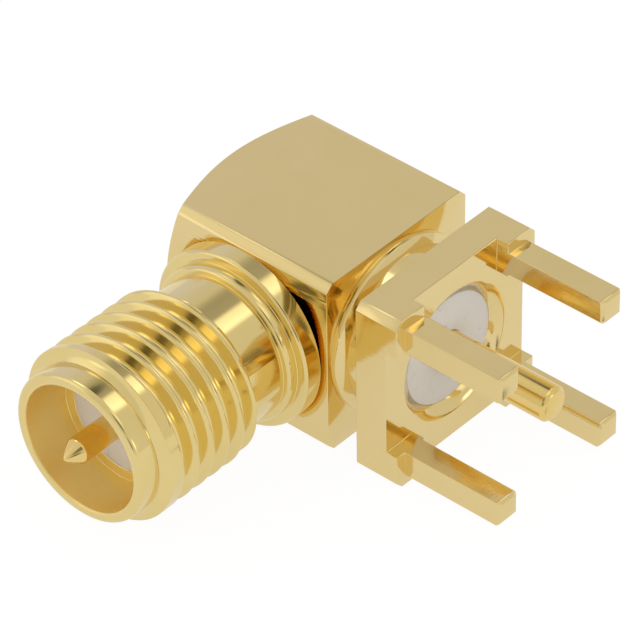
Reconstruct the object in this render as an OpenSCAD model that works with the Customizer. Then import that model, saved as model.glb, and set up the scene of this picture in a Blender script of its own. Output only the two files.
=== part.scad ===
// Right-angle coaxial connector jack for a circuit board: a threaded barrel
// with a male centre pin, on a block with a base plate and four legs.
// +X runs from the board seat to the leg tips, -Y out of the barrel's mouth.
// The origin is on the board pin's axis, where the pads stand on the board.

/* [Body] */
// Side of the square bar that the body is cut from
bar_side = 6.85; // [6.75:0.05:7.2]
// Chamfer along the four long edges of the bar
bar_chamfer = 0.27; // [0.1:0.01:0.4]
// Height of the barrel's axis above the board
axis_height = 6.35; // [6.3:0.05:7.5]
// Distance from the barrel's axis to the flat end of the head
head_reach = 3.7; // [3.5:0.05:4.2]
// Radius of the flat on the head
head_flat_r = 3.2; // [2.6:0.05:3.3]
// Slope of the turned cone round the head's flat, in degrees
head_slope = 26; // [15:0.5:35]
// Distance from the barrel's axis to the underside of the block
block_foot = 3.43; // [3.3:0.05:3.6]

/* [Neck] */
// Radius of the turned neck between block and base plate
neck_r = 2.9; // [2.6:0.05:3]
// Radius of the collar at the neck's root
neck_collar_r = 3.18; // [3.1:0.01:3.3]
// Height of the straight part of the collar
neck_collar_h = 0.16; // [0.1:0.01:0.3]
// Height of the cone from the collar down to the neck
neck_cone_h = 0.2; // [0.1:0.01:0.3]

/* [Base plate and legs] */
// Thickness of the base plate
plate_t = 1.26; // [1:0.02:1.4]
// Height of the four pads that hold the plate off the board
pad_h = 0.47; // [0.3:0.01:0.6]
// Side of the square legs
leg_side = 0.96; // [0.8:0.02:1]
// Distance between the centre lines of neighbouring legs
leg_pitch = 5.08; // [4.95:0.01:5.2]
// Length of the legs below the board seat
leg_length = 3.92; // [2.5:0.05:4.5]
// Chamfer along the long edges of the legs
leg_edge = 0.03; // [0.02:0.01:0.12]
// Chamfer along the one long edge of each leg that faces the board pin
leg_inner_edge = 0.12; // [0.05:0.01:0.2]
// Taper at the leg tips
leg_tip = 0.1; // [0.05:0.01:0.25]
// Radius of the countersink round the insulator, at the base plate's face
relief_r = 2.5; // [2.4:0.01:2.6]
// Slope of that countersink from the plate's face, in degrees
relief_slope = 32; // [25:0.5:40]

/* [Barrel] */
// Distance from the body's axis to the mouth of the barrel
mouth_reach = 11.46; // [11.2:0.05:13]
// Radius of the rounding on the lip's outer edge
lip_round = 0.18; // [0.1:0.01:0.22]
// Radius of the plain lead ahead of the thread, and of the lip at its end
lead_r = 2.72; // [2.65:0.01:2.8]
// Length of the lip and the lead
lead_length = 0.84; // [0.5:0.02:1]
// Radius of the thread's crests
thread_r = 3.15; // [3.1:0.01:3.18]
// Distance from one crest to the next
thread_pitch = 0.7056; // [0.65:0.0001:0.72]
// Depth of the thread's grooves
thread_depth = 0.42; // [0.3:0.01:0.45]
// Number of grooves
thread_turns = 5; // [3:1:5]
// Length of the plain land ahead of the first groove
thread_land = 0.39; // [0.1:0.01:0.4]
// Radius of the smooth relief behind the thread
undercut_r = 2.62; // [2.5:0.01:2.7]
// Radius of the small ring ahead of the flange
ring_r = 2.86; // [2.75:0.01:2.95]
// Height of that ring
ring_h = 0.4; // [0.2:0.01:0.5]
// Radius of the flange that seats on the block
flange_r = 3.25; // [3.2:0.01:3.3]
// Thickness of that flange
flange_t = 0.82; // [0.6:0.01:1]
// Chamfer round the flange and the ring
flange_edge = 0.09; // [0.03:0.01:0.15]
// Chamfer on the flange's back edge, next to the block
flange_back_edge = 0.14; // [0.03:0.01:0.25]
// Radius of the spigot that is pressed into the block
spigot_r = 2.6; // [2.4:0.05:2.7]
// Length of that spigot
spigot_length = 1.25; // [0.8:0.05:1.5]
// Radius of the mating bore
bore_r = 2.32; // [2.3:0.01:2.4]
// Depth of the mating bore
bore_depth = 1.86; // [1.5:0.02:2.2]

/* [Insulators] */
// Radius of the insulator in the barrel
front_insulator_r = 2.05; // [2:0.01:2.15]
// Radius of its nose, which shows at the bottom of the mating bore
nose_r = 1.92; // [1.85:0.01:1.97]
// Length of that nose, and of the barrel's shoulder round it
nose_length = 0.6; // [0.3:0.05:0.9]
// Radius of the insulator in the base
board_insulator_r = 2.04; // [1.95:0.01:2.15]
// Distance from the board seat to the inner end of the base's insulator
board_insulator_top = 4.72; // [4.6:0.02:4.8]
// Radius of the blind chamber where the two contacts meet
chamber_r = 1.8; // [1.6:0.02:1.85]
// Radius of the passage from the barrel's seat into the chamber
passage_r = 1.7; // [1.5:0.05:1.75]
// Distance from the barrel's axis to the chamber's end
chamber_reach = 1.6; // [1.5:0.05:1.9]

/* [Contacts] */
// Radius of the mating pin
pin_r = 0.46; // [0.44:0.01:0.48]
// How far the mating pin's tip stands out of the mouth
pin_reach = 0.62; // [0.2:0.02:0.8]
// Length of the pin's conical point
pin_point = 0.56; // [0.3:0.02:0.7]
// Radius of the blunt end of that point
pin_blunt = 0.07; // [0.05:0.01:0.12]
// Radius of the mating contact's shank inside its insulator
shank_r = 0.635; // [0.58:0.005:0.7]
// Radius of the board contact's shank inside its insulator
board_shank_r = 0.8; // [0.8:0.01:0.88]
// Distance from each end of the front insulator to the end of the shank inside it
shank_setback = 0.5; // [0.3:0.05:0.7]
// Radius of the mating contact's tail
tail_r = 0.4; // [0.35:0.01:0.44]
// Radius of the board contact's forked head
fork_r = 0.95; // [0.85:0.01:1.1]
// Radius of the board pin
board_pin_r = 0.635; // [0.5:0.005:0.64]
// Distance from the base insulator's face to the end of the shank inside it
board_pin_setback = 0.1; // [0.05:0.01:0.14]
// Length of the board pin below the board seat
board_pin_length = 3.7; // [2.2:0.05:4.2]
// Chamfer at the board pin's end
board_pin_edge = 0.15; // [0.05:0.01:0.2]

/* [Fits] */
// Clearance all round between a piece and the hole that it sits in
fit_gap = 0.01; // [0.005:0.005:0.03]

/* [Hidden] */
$fn = 96;
// Overshoot of the cuts past the faces that they open
over = 1;
half_side = bar_side / 2;
// Places along the body, from the board seat upwards
plate_low = -pad_h;
plate_top = plate_low - plate_t;
block_low = -(axis_height - block_foot);
head_end = -(axis_height + head_reach);
relief_top = plate_low - (relief_r - board_insulator_r - fit_gap) * tan(relief_slope);
insulator_top = -board_insulator_top;
chamber_end = -(axis_height + chamber_reach);
// Corner posts that are left when the bar's end is slotted crosswise
leg_in = leg_pitch / 2 - leg_side / 2;
leg_out = leg_pitch / 2 + leg_side / 2;
// Places along the barrel, from the body's axis outwards
flange_front = half_side + flange_t;
ring_front = flange_front + ring_h;
lead_back = mouth_reach - lead_length;
entry_slope = thread_r - lead_r;
land_front = lead_back - entry_slope * 0.42;
first_groove = land_front - thread_land;
crest_w = thread_pitch / 8;
root_w = thread_pitch / 4;
flank_w = (thread_pitch - crest_w - root_w) / 2;
thread_back = first_groove - thread_turns * thread_pitch;
runout = (thread_r - undercut_r) * 0.8;
spigot_back = half_side - spigot_length;
bore_floor = mouth_reach - bore_depth;
nose_back = bore_floor - nose_length;
pin_tip = mouth_reach + pin_reach;
// Places along the contacts
pin_step = bore_floor - shank_setback;
tail_start = spigot_back + shank_setback;
tail_end = tail_r;
fork_top = -(axis_height + fork_r);
board_step = relief_top - board_pin_setback;

module along_x(from) translate([from, 0, 0]) rotate([0, 90, 0]) children();
module out_of_mouth(from) translate([-axis_height, -from, 0]) rotate([90, 0, 0]) children();

// Cross-section of the bar, centred, with its four edges chamfered
module bar_section() {
    flat = half_side - bar_chamfer;
    polygon([
        [flat, half_side], [half_side, flat], [half_side, -flat], [flat, -half_side],
        [-flat, -half_side], [-half_side, -flat], [-half_side, flat], [-flat, half_side]
    ]);
}

module bar(from, to) along_x(from) linear_extrude(to - from) bar_section();

// The block's head: a turned flat with a cone that runs out over the bar's corners
module head_form() {
    rim_r = bar_side;
    along_x(head_end) rotate_extrude() polygon([
        [0, 0], [head_flat_r, 0], [rim_r, (rim_r - head_flat_r) * tan(head_slope)],
        [rim_r, block_low - head_end], [0, block_low - head_end]
    ]);
}

module block() intersection() {
    bar(head_end, block_low);
    head_form();
}

// Collar, cone and neck turned between the block and the base plate
module neck() along_x(block_low) rotate_extrude() polygon([
    [0, -over / 2], [neck_collar_r, -over / 2], [neck_collar_r, neck_collar_h],
    [neck_r, neck_collar_h + neck_cone_h], [neck_r, plate_top - block_low + plate_t / 2],
    [0, plate_top - block_low + plate_t / 2]
]);

// Cross-section of one leg, from its inner to its outer corner
module leg_section() {
    low = leg_in + leg_edge;
    high = leg_out - leg_edge;
    inner = leg_in + leg_inner_edge;
    polygon([
        [inner, leg_in], [high, leg_in], [leg_out, low], [leg_out, high],
        [high, leg_out], [low, leg_out], [leg_in, high], [leg_in, inner]
    ]);
}

// Side view of one leg, with the chamfer at its tip
module leg_profile() polygon([
    [plate_low, leg_in], [leg_length - leg_tip, leg_in], [leg_length, leg_in + leg_tip],
    [leg_length, leg_out - leg_tip], [leg_length - leg_tip, leg_out], [plate_low, leg_out]
]);

module leg() intersection() {
    along_x(plate_low) linear_extrude(leg_length - plate_low) leg_section();
    translate([0, 0, -leg_out]) linear_extrude(leg_side) leg_profile();
    translate([0, leg_in, 0]) rotate([-90, 0, 0]) linear_extrude(leg_side) leg_profile();
}

module at_corners() for (side = [0:3]) rotate([90 * side, 0, 0]) children();

// Base plate with the pads that the crossed slots leave at its corners
module base() difference() {
    bar(plate_top, 0);
    for (turn = [0, 90]) rotate([turn, 0, 0])
        translate([plate_low, -half_side - over, -leg_in])
            cube([pad_h + over, bar_side + 2 * over, 2 * leg_in]);
}

// Bore for the base's insulator, with its countersink in the plate's face
module board_bore() along_x(0) rotate_extrude() polygon([
    [0, insulator_top], [board_insulator_r + fit_gap, insulator_top],
    [board_insulator_r + fit_gap, relief_top], [relief_r, plate_low],
    [relief_r, plate_low + over], [0, plate_low + over]
]);

module body() color([0.84, 0.74, 0.5]) difference() {
    union() {
        block();
        neck();
        base();
        at_corners() leg();
    }
    // Insulator bore and blind chamber on the board pin's axis
    board_bore();
    along_x(chamber_end) cylinder(r = chamber_r, h = insulator_top - chamber_end + over / 2);
    // Seat for the barrel's spigot, and the passage on into the chamber
    out_of_mouth(spigot_back) cylinder(r = spigot_r + fit_gap, h = spigot_length + over);
    out_of_mouth(0) cylinder(r = passage_r, h = spigot_back + over / 2);
}

// Outline of one thread groove, from its front crest edge backwards
function groove(front) = [
    [thread_r, front], [thread_r - thread_depth, front - flank_w],
    [thread_r - thread_depth, front - flank_w - root_w], [thread_r, front - 2 * flank_w - root_w]
];

// Rounded edge of the lip, from its face to its outside
function lip_edge() = [
    for (a = [90:-15:0]) [lead_r - lip_round * (1 - cos(a)), mouth_reach - lip_round * (1 - sin(a))]
];

module barrel() color([0.86, 0.76, 0.5]) out_of_mouth(0) rotate_extrude() polygon(concat(
    [[bore_r, bore_floor], [bore_r, mouth_reach - lip_round / 2], [bore_r + lip_round / 2, mouth_reach]],
    lip_edge(),
    [[lead_r, lead_back], [thread_r, land_front]],
    [for (turn = [0:thread_turns - 1]) each groove(first_groove - turn * thread_pitch)],
    [[thread_r, thread_back], [undercut_r, thread_back - runout], [undercut_r, ring_front],
        [ring_r - flange_edge, ring_front], [ring_r, ring_front - flange_edge], [ring_r, flange_front],
        [flange_r - flange_edge, flange_front], [flange_r, flange_front - flange_edge],
        [flange_r, half_side + flange_back_edge], [flange_r - flange_back_edge, half_side],
        [spigot_r, half_side], [spigot_r, spigot_back],
        [front_insulator_r + fit_gap, spigot_back], [front_insulator_r + fit_gap, nose_back],
        [nose_r + fit_gap, nose_back], [nose_r + fit_gap, bore_floor]]
));

module front_insulator() color([0.9, 0.88, 0.86]) out_of_mouth(0) rotate_extrude() polygon([
    [pin_r + fit_gap, bore_floor], [nose_r, bore_floor], [nose_r, nose_back],
    [front_insulator_r, nose_back], [front_insulator_r, spigot_back],
    [shank_r + fit_gap, spigot_back], [shank_r + fit_gap, pin_step], [pin_r + fit_gap, pin_step]
]);

module centre_contact() color([0.8, 0.66, 0.36]) out_of_mouth(0) rotate_extrude() polygon([
    [0, -tail_end], [tail_r, -tail_end], [tail_r, tail_start], [shank_r, tail_start], [shank_r, pin_step],
    [pin_r, pin_step], [pin_r, pin_tip - pin_point], [pin_blunt, pin_tip - pin_blunt / 2],
    [pin_blunt / 2, pin_tip], [0, pin_tip]
]);

module board_insulator() color([0.9, 0.88, 0.86]) along_x(0) rotate_extrude() polygon([
    [board_pin_r + fit_gap, relief_top], [board_insulator_r, relief_top],
    [board_insulator_r, insulator_top], [board_shank_r + fit_gap, insulator_top],
    [board_shank_r + fit_gap, board_step], [board_pin_r + fit_gap, board_step]
]);

module board_contact() color([0.8, 0.66, 0.36]) difference() {
    along_x(0) rotate_extrude() polygon([
        [0, fork_top], [fork_r, fork_top], [fork_r, insulator_top], [board_shank_r, insulator_top],
        [board_shank_r, board_step], [board_pin_r, board_step],
        [board_pin_r, board_pin_length - board_pin_edge],
        [board_pin_r - board_pin_edge, board_pin_length], [0, board_pin_length]
    ]);
    // Slot that straddles the mating contact's tail
    out_of_mouth(-2 * fork_r) cylinder(r = tail_r + fit_gap, h = 4 * fork_r);
    translate([fork_top - over, -2 * fork_r, -tail_r - fit_gap])
        cube([fork_r + over, 4 * fork_r, 2 * (tail_r + fit_gap)]);
}

body();
barrel();
front_insulator();
centre_contact();
board_insulator();
board_contact();
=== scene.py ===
"""Looks of the right-angle coaxial board jack: pieces with soft edges and a true
helical thread, gold plating, PTFE, a white sweep and a studio of soft panels."""
import math

import bmesh
import bpy
from mathutils import Matrix, Vector


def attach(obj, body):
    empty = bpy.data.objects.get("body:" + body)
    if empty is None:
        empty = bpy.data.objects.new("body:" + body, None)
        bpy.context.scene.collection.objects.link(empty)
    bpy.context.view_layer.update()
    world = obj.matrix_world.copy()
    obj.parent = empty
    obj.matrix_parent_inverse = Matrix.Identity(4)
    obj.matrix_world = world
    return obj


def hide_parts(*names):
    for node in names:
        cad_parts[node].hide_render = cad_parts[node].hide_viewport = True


MM = 0.001
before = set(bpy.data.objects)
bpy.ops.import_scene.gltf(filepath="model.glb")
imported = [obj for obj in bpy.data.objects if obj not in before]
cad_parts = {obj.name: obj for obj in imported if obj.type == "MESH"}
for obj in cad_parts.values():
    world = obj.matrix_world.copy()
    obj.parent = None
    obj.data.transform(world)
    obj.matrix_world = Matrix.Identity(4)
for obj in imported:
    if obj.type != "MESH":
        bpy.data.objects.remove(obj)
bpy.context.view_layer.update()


# ---------------------------------------------------------------- sizes, in mm

# The bar and the base: places along +X, counted from the board's plane
AXIS_HEIGHT = 6.35
BAR_SIDE = 6.85
HALF = BAR_SIDE / 2
BAR_CHAMFER = 0.27
HEAD_END = -10.05
HEAD_MIDDLE_R = 2.2
HEAD_FLAT_R = 3.2
HEAD_SLOPE = math.radians(26)
BLOCK_LOW = -2.92
NECK_R = 2.9
COLLAR_R = 3.18
COLLAR_H = 0.16
COLLAR_CONE = 0.2
PLATE_TOP = -1.73
PLATE_LOW = -0.47
LEG_IN = 2.06
LEG_OUT = 3.02
LEG_END = 3.92
LEG_TIP = 0.1
LEG_INNER_EDGE = 0.12
# Radial clearance that stands for a press fit
FIT = 0.01
INSULATOR_R = 2.04
INSULATOR_TOP = -4.72
# The countersink round the board's insulator goes down to the insulator's face
RELIEF_R = 2.5
RELIEF_TOP = -0.7512
CHAMBER_R = 1.8
CHAMBER_END = -7.95
CHAMBER_LENGTH = 4
# Width of the broken edges of the block and of the base
BLOCK_EDGE = 0.035
BASE_EDGE = 0.03
CORNER_CUT = 0.014

# The barrel and what is in it: heights towards the mouth, counted from the block's middle
SEAT_FLOOR = 2.175
SEAT_R = 2.61
PASSAGE_R = 1.7
FLANGE_R = 3.25
FLANGE_FRONT = 4.245
FLANGE_BACK_EDGE = 0.14
RAISED_EDGE = 0.09
RING_R = 2.86
RING_FRONT = 4.645
UNDERCUT_R = 2.62
UNDERCUT_FRONT = 6.1
THREAD_BACK = 6.52
THREAD_R = 3.15
THREAD_DEPTH = 0.42
PITCH = 0.7056
LAND_FRONT = 10.44
LEAD_BACK = 10.62
LEAD_R = 2.72
LIP_OUTER_ROUND = 0.18
LIP_INNER_ROUND = 0.09
MOUTH = 11.46
BORE_R = 2.32
BORE_END = 9.6
NOSE_R = 1.92
NOSE_BACK = 9.0
FRONT_INSULATOR_R = 2.05
# Where a crest's middle lies at the angle of the legs' side
CREST_PHASE = 7.88
# The angle at which the last groove has run out, counted from the legs' side, and
# the angle that its running out takes
RUN_OUT = 215
RUN_OUT_TURN = 30
# Half a crest: distance along the barrel from the crest's middle, and depth there
GROOVE = [(0.032, 0), (0.05, 0.011), (0.1, 0.106), (0.15, 0.202), (0.2, 0.297),
          (0.255, 0.402), (0.28, THREAD_DEPTH)]

# The contacts
MATING_PIN_R = 0.46
MATING_SHANK_R = 0.635
MATING_SHANK = (2.675, 9.1)
MATING_END = 12.08
TAIL_R = 0.4
TAIL_END = -0.4
PIN_R = 0.635
PIN_END = 3.7
PIN_TIP = 0.15
SHANK_R = 0.8
SHANK_STEP = RELIEF_TOP - 0.1
HEAD_R = 0.95
HEAD_BACK = -7.3
HEAD_SLOT = 0.95

# Sides of a round surface
SMOOTH = 144
SMOOTH_BORE = 192
SMOOTH_PIN = 96


# ---------------------------------------------------------------- mesh helpers

def from_faces(name, verts, faces):
    """An object from points in millimetres."""
    mesh = bpy.data.meshes.new(name)
    mesh.from_pydata([Vector(v) * MM for v in verts], [], faces)
    mesh.update()
    o = bpy.data.objects.new(name, mesh)
    bpy.context.scene.collection.objects.link(o)
    return o


def along_x(from_x):
    """Places a lathe or prism made along local Z so that Z runs along +X."""
    return Matrix.Translation(Vector((from_x, 0, 0))) @ Matrix.Rotation(math.pi / 2, 4, "Y")


def out_of_mouth():
    """The same for pieces on the barrel's axis, with Z out of the mouth."""
    return Matrix.Translation(Vector((-AXIS_HEIGHT, 0, 0))) @ Matrix.Rotation(math.pi / 2, 4, "X")


def lathe(name, outline, place, segments=SMOOTH):
    """A solid of revolution from (radius, height) points. A closed outline off
    the axis makes a ring; one that starts and ends on the axis makes a plug."""
    plug = outline[0][0] == 0 and outline[-1][0] == 0
    rings = outline[1:-1] if plug else outline
    verts, faces = [], []
    for r, h in rings:
        for i in range(segments):
            a = 2 * math.pi * i / segments
            verts.append(place @ Vector((r * math.cos(a), r * math.sin(a), h)))
    count = len(rings)
    for j in range(count - 1 if plug else count):
        for i in range(segments):
            k, n, m = (i + 1) % segments, j * segments, (j + 1) % count * segments
            faces.append((n + i, n + k, m + k, m + i))
    if plug:
        for j, h, turn in ((0, outline[0][1], -1), (count - 1, outline[-1][1], 1)):
            verts.append(place @ Vector((0, 0, h)))
            for i in range(segments):
                k = (i + 1) % segments
                ring = (j * segments + i, j * segments + k)
                faces.append((*ring[::turn], len(verts) - 1))
    return outwards(from_faces(name, verts, faces))


def prism(name, outline, place, height):
    """A straight prism from an outline in local XY."""
    n = len(outline)
    verts = [place @ Vector((x, y, z)) for z in (0, height) for x, y in outline]
    faces = [tuple(range(n))[::-1], tuple(range(n, 2 * n))]
    faces += [(i, (i + 1) % n, n + (i + 1) % n, n + i) for i in range(n)]
    return outwards(from_faces(name, verts, faces))


def outwards(o):
    bm = bmesh.new()
    bm.from_mesh(o.data)
    bmesh.ops.recalc_face_normals(bm, faces=bm.faces)
    bm.to_mesh(o.data)
    bm.free()
    return o


def apply_modifiers(o):
    evaluated = o.evaluated_get(bpy.context.evaluated_depsgraph_get())
    mesh = bpy.data.meshes.new_from_object(evaluated)
    o.modifiers.clear()
    o.data = mesh
    return o


def combine(target, other, operation):
    """Joins other to target or cuts it out of target, and uses it up."""
    m = target.modifiers.new("solid", "BOOLEAN")
    m.operation, m.object, m.solver = operation, other, "EXACT"
    apply_modifiers(target)
    bpy.data.objects.remove(other)
    return target


def merged(o, near=0.0008):
    """Joins points that lie on each other."""
    bm = bmesh.new()
    bm.from_mesh(o.data)
    bmesh.ops.remove_doubles(bm, verts=bm.verts, dist=near * MM)
    bmesh.ops.dissolve_degenerate(bm, dist=near * MM / 4, edges=bm.edges)
    bm.to_mesh(o.data)
    bm.free()
    return o


def clean(o):
    """Drops needless points and the splits of flat faces."""
    bm = bmesh.new()
    bm.from_mesh(merged(o).data)
    bmesh.ops.dissolve_limit(bm, angle_limit=math.radians(0.4), verts=bm.verts, edges=bm.edges)
    bm.to_mesh(o.data)
    bm.free()
    return o


def soften(o, width):
    """Breaks the sharp edges, and shades what is round as round."""
    m = o.modifiers.new("edge", "BEVEL")
    m.width, m.segments, m.limit_method = width * MM, 2, "ANGLE"
    m.angle_limit, m.harden_normals = math.radians(28), False
    m.use_clamp_overlap = True
    apply_modifiers(o)
    return shade(o)


def shade(o, angle=32):
    """Smooth shading, but for edges sharper than the angle."""
    for p in o.data.polygons:
        p.use_smooth = True
    m = o.modifiers.new("weighted", "WEIGHTED_NORMAL")
    m.keep_sharp, m.weight, m.mode = True, 50, "FACE_AREA"
    o.data.set_sharp_from_angle(angle=math.radians(angle))
    return apply_modifiers(o)


# ---------------------------------------------------------------- the body

def octagon():
    """The bar's section."""
    f = HALF - BAR_CHAMFER
    return [Vector(p) for p in ((HALF, -f), (HALF, f), (f, HALF), (-f, HALF),
                                (-HALF, f), (-HALF, -f), (-f, -HALF), (f, -HALF))]


def square(half):
    return [(half, half), (-half, half), (-half, -half), (half, -half)]


def softened_octagon(long_steps):
    """The bar's outline in short steps, its eight corners a little round."""
    corners, points, cut = octagon(), [], CORNER_CUT
    for k in range(8):
        here, there, after = corners[k], corners[(k + 1) % 8], corners[(k + 2) % 8]
        way, turn = (there - here).normalized(), (after - there).normalized()
        steps = long_steps if (there - here).length > 1 else 3
        start, end = here + way * cut, there - way * cut
        points += [start.lerp(end, i / steps) for i in range(steps + 1)]
        points.append((end + there * 2 + there + turn * cut) / 4)
    return points


def make_block():
    """The bar with its turned head, collar and neck: every point of the bar's outline
    carries one column of points from the middle of the head to the end of the neck."""
    b, sink, run = BLOCK_EDGE, math.sin(HEAD_SLOPE), math.cos(HEAD_SLOPE)
    # Half the width over which the head's flat turns into its cone, and how deep the
    # surface lies at the middle and at the end of that; the neck's hidden end
    turn, turned, past_turn, inside_plate = 0.04, 0.005, 0.0195, PLATE_TOP + 0.5
    columns = []
    for p in softened_octagon(44):
        d = p.length
        h = HEAD_END + (d - HEAD_FLAT_R) * sink / run
        rim_in, rim_out = Vector((d - b * run, h - b * sink)), Vector((d, h + b))
        collar = BLOCK_LOW + COLLAR_H
        column = [(HEAD_MIDDLE_R, HEAD_END), (HEAD_FLAT_R - turn, HEAD_END),
                  (HEAD_FLAT_R, HEAD_END + turned), (HEAD_FLAT_R + turn, HEAD_END + past_turn), rim_in,
                  (rim_in + Vector((d, h)) * 2 + rim_out) / 4, rim_out,
                  (d, BLOCK_LOW - b), (d - b * 0.27, BLOCK_LOW - b * 0.27), (d - b, BLOCK_LOW),
                  (COLLAR_R, BLOCK_LOW), (COLLAR_R, collar - 0.015), (COLLAR_R - 0.012, collar),
                  (NECK_R, collar + COLLAR_CONE), (NECK_R, inside_plate)]
        columns.append([(x, *(p / d * r)) for r, x in column])
    n, count = len(columns[0]), len(columns)
    verts = [v for column in columns for v in column]
    verts += [(HEAD_END, 0, 0), (inside_plate, 0, 0)]
    faces = []
    for i in range(count):
        p, q = i * n, (i + 1) % count * n
        faces += [(p + j, q + j, q + j + 1, p + j + 1) for j in range(n - 1)]
        faces += [(q, p, count * n), (p + n - 1, q + n - 1, count * n + 1)]
    return outwards(from_faces("body_piece", verts, faces))


def make_base():
    """The plate with its corner pads and legs, all left standing by slots milled
    across the end of the same bar."""
    base = prism("base", octagon(), along_x(PLATE_TOP), LEG_END - PLATE_TOP)
    a, out, long = LEG_IN, BAR_SIDE, LEG_END + 1
    cross = [(a, a), (a, out), (-a, out), (-a, a), (-out, a), (-out, -a),
             (-a, -a), (-a, -out), (a, -out), (a, -a), (out, -a), (out, a)]
    combine(base, prism("slots", cross, along_x(PLATE_LOW), long), "DIFFERENCE")
    diamond = 2 * LEG_IN + LEG_INNER_EDGE
    combine(base, prism("edges", [(diamond, 0), (0, diamond), (-diamond, 0), (0, -diamond)],
                        along_x(0), long), "DIFFERENCE")
    around = prism("around", square(out), along_x(0), long)
    combine(around, prism("legs", square(LEG_OUT), along_x(-1), long + 2), "DIFFERENCE")
    combine(base, around, "DIFFERENCE")
    taper_tips(clean(base))
    return soften(base, BASE_EDGE)


def taper_tips(base):
    """Narrows the last bit of each leg on all four sides."""
    bm = bmesh.new()
    bm.from_mesh(base.data)
    bmesh.ops.bisect_plane(bm, geom=bm.verts[:] + bm.edges[:] + bm.faces[:],
                           plane_co=((LEG_END - LEG_TIP) * MM, 0, 0), plane_no=(1, 0, 0))
    middle = (LEG_IN + LEG_OUT) / 2 * MM
    keep = 1 - LEG_TIP / (LEG_OUT - LEG_IN) * 2
    for v in bm.verts:
        if v.co.x > (LEG_END - LEG_TIP / 2) * MM:
            for k in (1, 2):
                centre = math.copysign(middle, v.co[k])
                v.co[k] = centre + (v.co[k] - centre) * keep
    bm.to_mesh(base.data)
    bm.free()


def make_body():
    """The whole turned and milled bar, with its countersunk bore, chamber and seat."""
    body = combine(make_block(), make_base(), "UNION")
    r, rim = INSULATOR_R + FIT, RELIEF_R
    slope = (PLATE_LOW - RELIEF_TOP) / (rim - r)
    # The countersink's rim is broken over a little width
    bore = [(0, INSULATOR_TOP), (r, INSULATOR_TOP), (r, RELIEF_TOP),
            (rim - 0.02, PLATE_LOW - 0.02 * slope), (rim + 0.001, PLATE_LOW - 0.003),
            (rim + 0.047, PLATE_LOW + 0.003), (rim + 0.047, 0.3), (0, 0.3)]
    combine(body, lathe("bore", bore, along_x(0), SMOOTH_BORE), "DIFFERENCE")
    # The seat's cutter ends outside the bar, and the passage's inside the seat
    outside_bar, inside_seat = 5, 3
    for name, r, start, end, place in (
            ("chamber", CHAMBER_R, 0, CHAMBER_LENGTH, along_x(CHAMBER_END)),
            ("seat", SEAT_R, SEAT_FLOOR, outside_bar, out_of_mouth()),
            ("passage", PASSAGE_R, 0, inside_seat, out_of_mouth())):
        hole = lathe(name, [(0, start), (r, start), (r, end), (0, end)], place)
        combine(body, hole, "DIFFERENCE")
    return shade(merged(body), 27)


# ---------------------------------------------------------------- the barrel

def limit(height):
    """Outside radius without the thread: the land, with a cone at each end."""
    if height > LAND_FRONT:
        return THREAD_R - (height - LAND_FRONT) * (THREAD_R - LEAD_R) / (LEAD_BACK - LAND_FRONT)
    if height < THREAD_BACK:
        cone = (THREAD_R - UNDERCUT_R) / (THREAD_BACK - UNDERCUT_FRONT)
        return max(THREAD_R - (THREAD_BACK - height) * cone, UNDERCUT_R)
    return THREAD_R


def thread_rows(degrees):
    """Points along one column of the thread, on the lines that wind round with it."""
    rows = []
    half = [(-off, depth) for off, depth in GROOVE[::-1]] + GROOVE
    for crest in range(-4, 6):
        for off, depth in half:
            height = CREST_PHASE + (crest + degrees / 360) * PITCH + off
            # The groove before the last crest runs out, and beyond it the land is plain
            if crest + off / PITCH > 3:
                depth = 0
            elif crest + off / PITCH > 2:
                depth *= min((RUN_OUT - degrees) / RUN_OUT_TURN, 1)
            height = min(max(height, UNDERCUT_FRONT), LAND_FRONT)
            rows.append((min(THREAD_R - depth, limit(height)), height))
    return rows


def arc(cr, ch, radius, start, end, steps):
    """Points round a corner of an outline, angles in degrees."""
    return [(cr + radius * math.cos(math.radians(start + (end - start) * i / steps)),
             ch + radius * math.sin(math.radians(start + (end - start) * i / steps)))
            for i in range(steps + 1)]


def raised_front(r, front, inner, near, far):
    """The front of a raised ring: a narrow chamfer, whose two corners are eased at near
    and far, and the corner down to what follows."""
    edge, corner = RAISED_EDGE, 0.02
    return [(r, front - edge), (r - near, front - far), (r - far, front - 0.005),
            (r - edge, front), (inner + corner, front), (inner, front + corner)]


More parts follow.
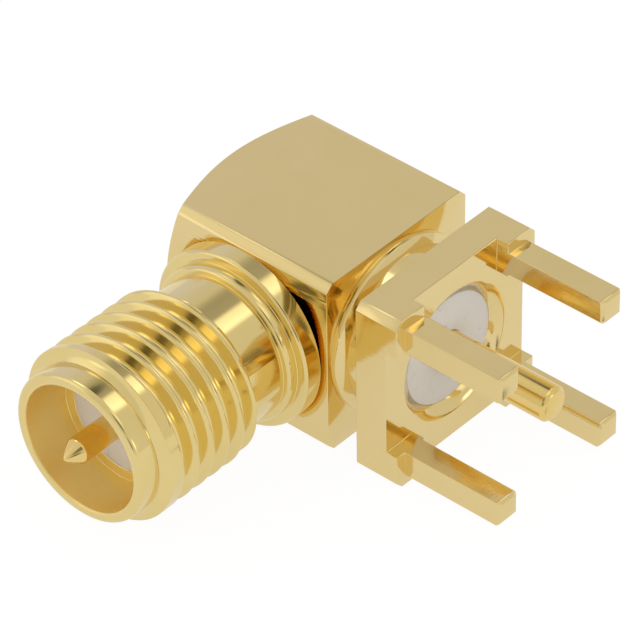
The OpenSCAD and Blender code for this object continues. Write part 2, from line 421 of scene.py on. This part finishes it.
def make_barrel():
    """Revolved like a lathe part, but the rows of its thread follow the helix: where
    the last column meets the first, each row has moved on by one turn."""
    edge, hold, corner = 0.025, 0.015, 0.02
    inner, spigot, nose = FRONT_INSULATOR_R + FIT, SEAT_R - FIT, NOSE_R + FIT
    flange_back_r = FLANGE_R - FLANGE_BACK_EDGE
    back = [(inner, SEAT_FLOOR + edge), (inner + edge, SEAT_FLOOR), (spigot - edge, SEAT_FLOOR),
            (spigot, SEAT_FLOOR + edge), (spigot, HALF), (flange_back_r - edge, HALF),
            (flange_back_r, HALF + edge / 2), (FLANGE_R, HALF + FLANGE_BACK_EDGE),
            # Two rows that keep the flange's rim straight
            (FLANGE_R, HALF + FLANGE_BACK_EDGE + hold), (FLANGE_R, FLANGE_FRONT - RAISED_EDGE - hold)]
    back += raised_front(FLANGE_R, FLANGE_FRONT, RING_R, 0.005, 0.077)
    back += raised_front(RING_R, RING_FRONT, UNDERCUT_R, 0.007, 0.075)
    front = [(THREAD_R - 0.03, LAND_FRONT + 0.006), (LEAD_R + corner, LEAD_BACK - 0.008),
             (LEAD_R, LEAD_BACK + 0.015)]
    outer, lip = LIP_OUTER_ROUND, LIP_INNER_ROUND
    front += arc(LEAD_R - outer, MOUTH - outer, outer, 0, 90, 8)
    front += arc(BORE_R + lip, MOUTH - lip, lip, 90, 180, 5)
    front += [(BORE_R, BORE_END + corner), (BORE_R - corner, BORE_END), (nose + corner, BORE_END),
              (nose, BORE_END - corner), (nose, NOSE_BACK), (inner, NOSE_BACK)]
    columns, verts, faces = 300, [], []
    for i in range(columns):
        degrees = RUN_OUT - 360 + 360 * i / columns
        c, s = math.cos(math.radians(degrees)), math.sin(math.radians(degrees))
        rows = thread_rows(degrees)
        verts += [(-AXIS_HEIGHT + r * c, -h, r * s) for r, h in back + rows + front]
    n, turn = len(verts) // columns, 2 * len(GROOVE)
    first, last = len(back), n - len(front) - 1

    def met(j):
        return min(j + turn, last) if first <= j <= last else j

    for i in range(columns):
        p, q = i * n, (i + 1) % columns * n
        for j in range(n):
            k = (j + 1) % n
            there = (j, k) if q else (met(j), met(k))
            faces.append((p + j, q + there[0], q + there[1], p + k))
    return shade(outwards(merged(from_faces("barrel_piece", verts, faces), 0.0004)), 40)


# ---------------------------------------------------------------- insulators and contacts

def make_front_insulator():
    r, edge = MATING_PIN_R + FIT, 0.02
    shank_r, shank_end = MATING_SHANK_R + FIT, MATING_SHANK[1]
    return shade(lathe("front_insulator_piece", [
        (r + edge, BORE_END), (NOSE_R - edge, BORE_END), (NOSE_R, BORE_END - edge),
        (NOSE_R, NOSE_BACK), (FRONT_INSULATOR_R, NOSE_BACK), (FRONT_INSULATOR_R, SEAT_FLOOR),
        (shank_r, SEAT_FLOOR), (shank_r, shank_end), (r, shank_end), (r, BORE_END - edge)],
        out_of_mouth()))


def make_board_insulator():
    r, edge = PIN_R + FIT, 0.02
    return shade(lathe("board_insulator_piece", [
        (r, RELIEF_TOP - edge), (r + edge, RELIEF_TOP), (INSULATOR_R - edge, RELIEF_TOP),
        (INSULATOR_R, RELIEF_TOP - edge), (INSULATOR_R, INSULATOR_TOP), (SHANK_R + FIT, INSULATOR_TOP),
        (SHANK_R + FIT, SHANK_STEP), (r, SHANK_STEP)], along_x(0)))


def make_centre_contact():
    r, end = MATING_PIN_R, MATING_END
    point = [(r, end - 0.62), (r - 0.008, end - 0.55), (r - 0.03, end - 0.51), (0.1, end - 0.045),
             (0.06, end - 0.014), (0, end)]
    back, front = MATING_SHANK
    return shade(lathe("centre_contact_piece", [
        (0, TAIL_END), (TAIL_R, TAIL_END), (TAIL_R, back), (MATING_SHANK_R, back),
        (MATING_SHANK_R, front), (r, front)] + point, out_of_mouth(), SMOOTH_PIN), 50)


def make_board_contact():
    tip = PIN_TIP
    contact = lathe("board_contact_piece", [
        (0, HEAD_BACK), (HEAD_R, HEAD_BACK), (HEAD_R, INSULATOR_TOP), (SHANK_R, INSULATOR_TOP),
        (SHANK_R, SHANK_STEP), (PIN_R, SHANK_STEP), (PIN_R, PIN_END - tip - 0.015),
        (PIN_R - 0.008, PIN_END - tip + 0.008), (PIN_R - tip + 0.01, PIN_END - 0.008),
        (PIN_R - tip - 0.012, PIN_END), (0, PIN_END)], along_x(0), SMOOTH_PIN)
    # A cross hole and an open slot let the other contact's tail into the head
    r, reach = TAIL_R + FIT, 2
    across = lathe("eye", [(0, -reach), (r, -reach), (r, reach), (0, reach)], out_of_mouth(), 48)
    combine(contact, across, "DIFFERENCE")
    slot = [(-r, -reach), (r, -reach), (r, reach), (-r, reach)]
    combine(contact, prism("slot", slot, along_x(HEAD_BACK - 1), 1 + HEAD_SLOT), "DIFFERENCE")
    return shade(clean(contact))


# ---------------------------------------------------------------- materials

# Noise sizes, in cells a metre
CLOUD = 420
DENTS = 8000
MARKS = 9000


class Nodes:
    """A short hand for building a node material."""

    def __init__(self, name):
        self.material = bpy.data.materials.new(name)
        self.material.use_nodes = True
        self.tree = self.material.node_tree
        self.shader = self.tree.nodes["Principled BSDF"]
        self.coords = self.tree.nodes.new("ShaderNodeTexCoord").outputs["Object"]

    def add(self, kind, links=None, **values):
        n = self.tree.nodes.new("ShaderNode" + kind)
        for key, value in values.items():
            if key in n.inputs:
                n.inputs[key].default_value = value
            else:
                setattr(n, key, value)
        for key, source in (links or {}).items():
            self.tree.links.new(source, n.inputs[key])
        return n

    def to(self, source, socket):
        self.tree.links.new(source, self.shader.inputs[socket])

    def stretched(self, scale):
        """Object coordinates with their own scale, for lines along one way."""
        return self.add("Mapping", {"Vector": self.coords}, Scale=scale).outputs["Vector"]

    def noise(self, vector, size, detail):
        n = self.add("TexNoise", {"Vector": vector}, Scale=size, Detail=detail, Roughness=0.55)
        return n.outputs[0]

    def span(self, value, low, high, from_low=0.3, from_high=0.7):
        """Goes from low to high. The usual ends are those of a noise."""
        n = self.add("MapRange", {"Value": value})
        n.inputs["From Min"].default_value, n.inputs["From Max"].default_value = from_low, from_high
        n.inputs["To Min"].default_value, n.inputs["To Max"].default_value = low, high
        return n.outputs["Result"]

    def mix(self, factor, one, two):
        """Goes from one colour to two. Each is three numbers or the output of a node."""
        n = self.add("Mix", data_type="RGBA")
        self.tree.links.new(factor, n.inputs[0])
        for socket, colour in ((n.inputs[6], one), (n.inputs[7], two)):
            if isinstance(colour, tuple):
                socket.default_value = (*colour, 1)
            else:
                self.tree.links.new(colour, socket)
        return n.outputs[2]

    def math(self, operation, *values):
        n = self.tree.nodes.new("ShaderNodeMath")
        n.operation = operation
        for k, value in enumerate(values):
            if isinstance(value, (int, float)):
                n.inputs[k].default_value = value
            else:
                self.tree.links.new(value, n.inputs[k])
        return n.outputs[0]

    def axis(self, letter):
        return self.add("SeparateXYZ", {"Vector": self.coords}).outputs[letter]

    def bump(self, height, strength, distance):
        n = self.add("Bump", {"Height": height}, Strength=strength, Distance=distance * MM)
        self.to(n.outputs["Normal"], "Normal")


def gold(name, light, deep):
    """Thin gold plating, a little deeper in places. Gives its nodes, cloud and colour."""
    n = Nodes(name)
    n.shader.inputs["Metallic"].default_value = 1.0
    cloud = n.noise(n.coords, CLOUD, 4)
    colour = n.mix(n.span(cloud, 0, 1), light, deep)
    n.to(colour, "Base Color")
    return n, cloud, colour


def flat_gold():
    """The milled body: fine marks along the bar, and coarser faces on the pads and legs."""
    n, cloud, _ = gold("gold_flat", (0.88, 0.70, 0.335), (0.86, 0.68, 0.305))
    coarse = n.span(n.axis("X"), 0, 1, -0.4 * MM, 1.6 * MM)
    marks = n.noise(n.stretched((0.12, 1, 1)), MARKS, 2)
    dents = n.noise(n.stretched((0.6, 1, 1)), DENTS, 3)
    rough = n.math("ADD", n.span(cloud, 0.07, 0.1), n.math("MULTIPLY", coarse, 0.05))
    n.to(rough, "Roughness")
    height = n.math("ADD", n.math("MULTIPLY", marks, 0.8),
                    n.math("MULTIPLY", dents, n.math("MULTIPLY", coarse, 1.6)))
    n.bump(height, 0.3, 0.006)
    return n.material


def turned_gold():
    """The barrel: marks round the axis, and a rougher, deeper wall in its mating bore, whose brighter
    colour and share of matte shading are painted light.
    """
    n, cloud, colour = gold("gold_turned", (0.88, 0.71, 0.31), (0.86, 0.68, 0.28))
    across = n.math("POWER", n.math("ADD", n.axis("X"), AXIS_HEIGHT * MM), 2)
    up = n.math("POWER", n.axis("Z"), 2)
    from_axis = n.math("SQRT", n.math("ADD", across, up))
    inside = n.span(from_axis, 1, 0, (BORE_R + 0.01) * MM, (BORE_R + 0.13) * MM)
    # Painted light: in the bore the wall gets a brighter colour and a matte share, so that it shows
    # lighter than its mirroring alone would make it
    n.to(n.mix(inside, colour, (1, 0.79, 0.3)), "Base Color")
    n.to(n.math("SUBTRACT", 1, n.math("MULTIPLY", inside, 0.45)), "Metallic")
    n.to(n.math("ADD", n.span(cloud, 0.1, 0.13), n.math("MULTIPLY", inside, 0.1)), "Roughness")
    marks = n.noise(n.stretched((1, 8, 1)), MARKS, 2)
    depth = n.math("ADD", n.math("MULTIPLY", inside, 1.5), 0.1)
    n.bump(n.math("MULTIPLY", marks, depth), 1, 0.004)
    return n.material


def pin_gold():
    """The two contacts: warmer and a little duller."""
    n, cloud, _ = gold("gold_pin", (0.93, 0.71, 0.28), (0.9, 0.67, 0.24))
    n.to(n.span(cloud, 0.12, 0.18), "Roughness")
    n.bump(n.noise(n.coords, MARKS, 2), 0.1, 0.004)
    return n.material


def ptfe(base, mark):
    """Waxy white PTFE with a few fine curved marks from the facing tool."""
    n = Nodes("ptfe")
    n.shader.inputs["Roughness"].default_value = 0.42
    n.shader.inputs["Subsurface Weight"].default_value = 0.15
    n.shader.inputs["Subsurface Radius"].default_value = (0.0006, 0.0005, 0.0005)
    n.shader.inputs["Subsurface Scale"].default_value = 1.0
    from_middle = n.math("ABSOLUTE", n.math("SUBTRACT", n.noise(n.coords, 700, 1), 0.5))
    line = n.span(from_middle, 1, 0, 0, 0.012)
    some = n.span(n.noise(n.coords, 1500, 1), 0, 1, 0.52, 0.6)
    n.to(n.mix(n.math("MULTIPLY", line, some), base, mark), "Base Color")
    n.bump(n.noise(n.coords, 6000, 3), 0.15, 0.006)
    return n.material


def paint(o, material, slot, *nodes):
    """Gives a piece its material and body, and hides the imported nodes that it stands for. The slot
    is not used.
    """
    o.data.materials.clear()
    o.data.materials.append(material)
    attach(o, "root")
    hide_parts(*nodes)


white, contact_gold = ptfe((0.96, 0.925, 0.91), (0.8, 0.76, 0.75)), pin_gold()
paint(make_body(), flat_gold(), "plated_body", "body")
paint(make_barrel(), turned_gold(), "plated_barrel", "barrel")
paint(make_front_insulator(), white, "front_ptfe", "front_insulator")
paint(make_centre_contact(), contact_gold, "contact_gold", "centre_contact")
paint(make_board_insulator(), white, "board_ptfe", "board_insulator")
paint(make_board_contact(), contact_gold, "board_pin_gold", "board_contact")


# ---------------------------------------------------------------- studio

TENT_LEVEL = 0.72
TENT_LEAST = 0.1
TENT_NEUTRAL, TENT_COOL = (1, 0.98, 0.94), (0.97, 0.98, 1.25)
# Azimuth, elevation, half width and softness in degrees, and how much it adds or takes
SOFT_BOXES = [
    (188, 55, 16, 9, -0.3),
    (206, 64, 7, 3, -0.4),
    (155, 56, 10, 3, 0.8),
    (222, 42, 12, 10, -0.05),
    (104, 8, 10, 6, 0.2),
    (109, 14, 5, 3, 1.2),
    (100, 56, 12, 6, 0.4),
    (-39, 35, 14, 8, 0.12),
    (278, 60, 9, 4, 1.2),
    (-45, 14, 16, 8, 0.3),
    (-31, -1, 5, 3, 0.5),
    (44, 36, 12, 6, -0.52),
    (48, 9, 8, 4, -0.55),
]
FLOOR_HALF = 400
FLOOR_SEEN = 1.05
FLOOR_MIRRORED = 0.86
# Middle of the floor's dark patch, a painted reflection of the dark camera that shows only in the
# plating, its level, and where it begins and has faded out
PAINTED_REFLECTION_MIDDLE = (8.8, 0.3, -HALF)
PAINTED_REFLECTION_LEVEL = 0.05
PAINTED_REFLECTION_R = (0.6, 2.3)
CAMERA_DIRECTION, CAMERA_ROLL = (41.799, 39.163), -0.821
CAMERA_AIM, CAMERA_DISTANCE = (-4.8365, -1.6179, 0), 171.935
CAMERA_LENS, CAMERA_SENSOR = 297.76, 36


def direction(azimuth, elevation):
    """Points away from the part. Azimuth is counted as the camera's."""
    a, e = math.radians(azimuth), math.radians(elevation)
    return Vector((math.sin(a) * math.cos(e), -math.cos(a) * math.cos(e), math.sin(e)))


def make_floor():
    """Even white to the camera. Mirrored in the plating it's a little dimmer, with one
    dark patch to the right of the legs, a painted reflection of the dark camera."""
    corners = [(x, y, -HALF - 0.001) for x, y in square(FLOOR_HALF)]
    floor = from_faces("floor", corners, [(0, 1, 2, 3)])
    n = Nodes("floor_white")
    n.shader.inputs["Roughness"].default_value = 0.9
    n.shader.inputs["Specular IOR Level"].default_value = 0.0
    cloud = n.noise(n.coords, 30, 2)
    n.to(n.mix(n.span(cloud, 0, 1), (0.96, 0.96, 0.96), (0.95, 0.95, 0.95)), "Base Color")
    # Painted reflection: near the patch the floor's glow in the plating is dimmed, standing in for the
    # dark camera mirrored in the floor
    away = n.add("VectorMath", {0: n.coords}, operation="DISTANCE")
    away.inputs[1].default_value = Vector(PAINTED_REFLECTION_MIDDLE) * MM
    dim = n.span(away.outputs["Value"], PAINTED_REFLECTION_LEVEL, FLOOR_MIRRORED, *(r * MM for r in PAINTED_REFLECTION_R))
    path = n.add("LightPath")
    seen = n.add("Emission", Color=(1, 1, 1, 1), Strength=FLOOR_SEEN)
    mirrored = n.add("Emission", {"Strength": dim}, Color=(1, 0.995, 1, 1))
    surface = n.shader.outputs[0]
    for ray, glow, share in (("Is Glossy Ray", mirrored, 0.8), ("Is Camera Ray", seen, 0.9)):
        blend = n.add("MixShader", {0: n.math("MULTIPLY", path.outputs[ray], share)})
        n.tree.links.new(surface, blend.inputs[1])
        n.tree.links.new(glow.outputs[0], blend.inputs[2])
        surface = blend.outputs[0]
    n.tree.links.new(surface, n.tree.nodes["Material Output"].inputs["Surface"])
    floor.data.materials.append(n.material)


def make_world():
    """A white tent, neutral on the legs' side and cooler on the other, with soft boxes
    and darker places."""
    world = bpy.data.worlds.new("studio")
    bpy.context.scene.world = world
    world.use_nodes = True
    tree = world.node_tree
    tree.nodes.clear()
    coords = tree.nodes.new("ShaderNodeTexCoord").outputs["Generated"]

    def towards(azimuth, elevation, outer, inner, low, high):
        """A value that goes from low to high round one direction, angles in degrees."""
        dot = tree.nodes.new("ShaderNodeVectorMath")
        dot.operation = "DOT_PRODUCT"
        dot.inputs[1].default_value = direction(azimuth, elevation)
        tree.links.new(coords, dot.inputs[0])
        spot = tree.nodes.new("ShaderNodeMapRange")
        spot.interpolation_type = "SMOOTHSTEP"
        spot.inputs["From Min"].default_value = math.cos(math.radians(outer))
        spot.inputs["From Max"].default_value = math.cos(math.radians(max(inner, 0)))
        spot.inputs["To Min"].default_value, spot.inputs["To Max"].default_value = low, high
        tree.links.new(dot.outputs["Value"], spot.inputs["Value"])
        return spot.outputs["Result"]

    level = None
    for azimuth, elevation, half_width, soft, change in SOFT_BOXES:
        spot = towards(azimuth, elevation, half_width + soft, half_width - soft, 0, change)
        total = tree.nodes.new("ShaderNodeMath")
        total.operation = "ADD"
        total.inputs[0].default_value = TENT_LEVEL
        if level:
            tree.links.new(level, total.inputs[0])
        tree.links.new(spot, total.inputs[1])
        level = total.outputs[0]
    least = tree.nodes.new("ShaderNodeMath")
    least.operation = "MAXIMUM"
    least.inputs[1].default_value = TENT_LEAST
    tree.links.new(level, least.inputs[0])
    tint = tree.nodes.new("ShaderNodeMix")
    tint.data_type = "RGBA"
    tint.inputs[6].default_value, tint.inputs[7].default_value = (*TENT_NEUTRAL, 1), (*TENT_COOL, 1)
    tree.links.new(towards(255, 0, 60, 20, 0, 1), tint.inputs[0])
    room = tree.nodes.new("ShaderNodeBackground")
    tree.links.new(tint.outputs[2], room.inputs["Color"])
    tree.links.new(least.outputs[0], room.inputs["Strength"])
    seen = tree.nodes.new("ShaderNodeBackground")
    seen.inputs["Color"].default_value, seen.inputs["Strength"].default_value = (1, 1, 1, 1), 1.0
    path = tree.nodes.new("ShaderNodeLightPath")
    blend = tree.nodes.new("ShaderNodeMixShader")
    out = tree.nodes.new("ShaderNodeOutputWorld")
    tree.links.new(path.outputs["Is Camera Ray"], blend.inputs[0])
    tree.links.new(room.outputs[0], blend.inputs[1])
    tree.links.new(seen.outputs[0], blend.inputs[2])
    tree.links.new(blend.outputs[0], out.inputs[0])


def make_camera():
    """A long lens that looks down on the mouth and the legs."""
    back, roll = direction(*CAMERA_DIRECTION), math.radians(CAMERA_ROLL)
    data = bpy.data.cameras.new("camera")
    data.sensor_width, data.lens = CAMERA_SENSOR, CAMERA_LENS
    data.clip_start, data.clip_end = 0.01, 10
    cam = bpy.data.objects.new("camera", data)
    cam.rotation_mode = "QUATERNION"
    level = (-back).to_track_quat("-Z", "Y")
    cam.location = (Vector(CAMERA_AIM) + back * CAMERA_DISTANCE) * MM
    cam.rotation_quaternion = level @ Matrix.Rotation(roll, 4, "Z").to_quaternion()
    bpy.context.scene.collection.objects.link(cam)
    bpy.context.scene.camera = cam


make_floor()
make_world()
make_camera()

bpy.context.scene.view_settings.view_transform = "Standard"
# The bore's wall and the pin in it mirror each other many times
bpy.context.scene.cycles.glossy_bounces = 10
